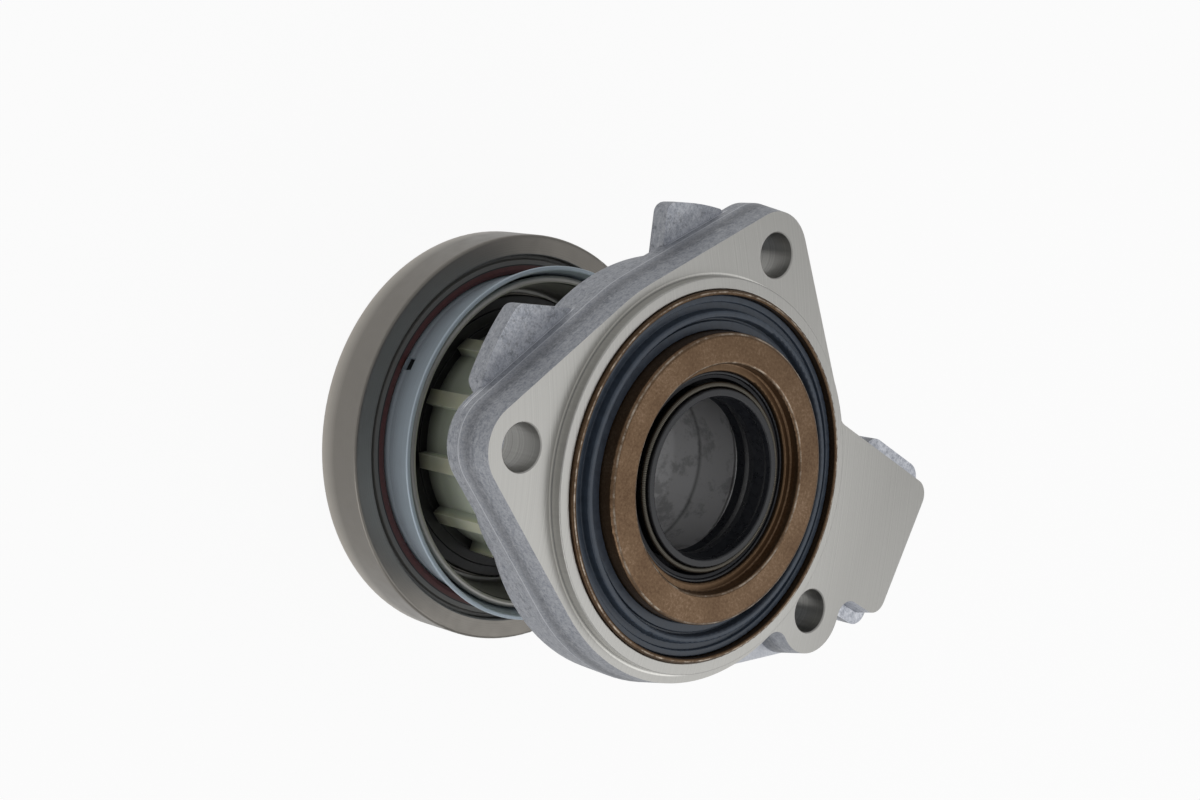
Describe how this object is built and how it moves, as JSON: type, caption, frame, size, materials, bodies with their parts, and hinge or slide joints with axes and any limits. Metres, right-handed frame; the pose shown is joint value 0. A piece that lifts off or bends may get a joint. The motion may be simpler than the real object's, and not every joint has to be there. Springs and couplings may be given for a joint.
{
  "type": "concentric slave cylinder",
  "caption": "Flanged ring cylinder that slides a self-centring clutch release bearing along a fixed guide tube, with fluid ports in a side block.",
  "frame": {"origin": "centre of the machined mounting face, on the cylinder axis", "axes": "+Z along the cylinder axis towards the gearbox, +X along the port block, the way its ports open; the bearing is at -Z"},
  "size_m": [0.0938, 0.0777, 0.0591],
  "materials": {
    "cast_aluminium": "machined face, cast sides",
    "brown_steel": "brown passivated",
    "gasket_rubber": "smooth",
    "black_rubber": "satin",
    "maroon_rubber": "matt",
    "spring_steel": "bright",
    "piston_plastic": "slightly translucent",
    "black_plastic": "moulded",
    "bearing_steel": "ground, satin",
    "plated_steel": "blue-grey plating",
    "cage_plastic": "moulded"
  },
  "bodies": {
    "cylinder": {"housing": "cast_aluminium", "guide_sleeve": "brown_steel", "mounting_gasket": "gasket_rubber", "shaft_seal": "black_rubber", "seal_case": "spring_steel", "garter_spring": "spring_steel", "sleeve_o_ring": "black_rubber", "stop_ring": "spring_steel", "preload_spring": "spring_steel"},
    "ram": {"spring_seat": "black_plastic", "piston_seal": "black_rubber", "piston": "piston_plastic", "bearing_carrier": "black_plastic", "centring_spring": "spring_steel", "spring_retainer": "black_plastic"},
    "washer": {"thrust_washer": "spring_steel"},
    "inner_ring": {"bearing_inner_ring": "bearing_steel", "retaining_collar": "plated_steel"},
    "cage": {"bearing_cage": "cage_plastic", "bearing_balls": "spring_steel"},
    "outer_ring": {"bearing_outer_ring": "bearing_steel", "bearing_seal": "maroon_rubber", "clutch_side_seal": "maroon_rubber"}
  },
  "joints": [
    {"name": "piston_slide", "type": "slide", "parent": "cylinder", "child": "ram", "axis": [0, 0, 1], "range_m": [0, 0.01], "stiffness_N_per_m": 364, "springref_m": -0.048, "deforming": ["preload_spring"]},
    {"name": "centring_x", "type": "slide", "parent": "ram", "child": "washer", "axis": [1, 0, 0], "range_m": [-0.0008, 0.0008]},
    {"name": "centring_y", "type": "slide", "parent": "washer", "child": "inner_ring", "axis": [0, 1, 0], "range_m": [-0.0008, 0.0008]},
    {"name": "outer_ring_spin", "type": "hinge", "parent": "inner_ring", "child": "outer_ring", "pos_m": [0, 0, -0.04742], "axis": [0, 0, 1], "continuous": true},
    {"name": "cage_spin", "type": "hinge", "parent": "inner_ring", "child": "cage", "pos_m": [0, 0, -0.04742], "axis": [0, 0, 1], "continuous": true}
  ],
  "couplings": [
    {"joint": "cage_spin", "follows": "outer_ring_spin", "ratio": 0.548}
  ]
}
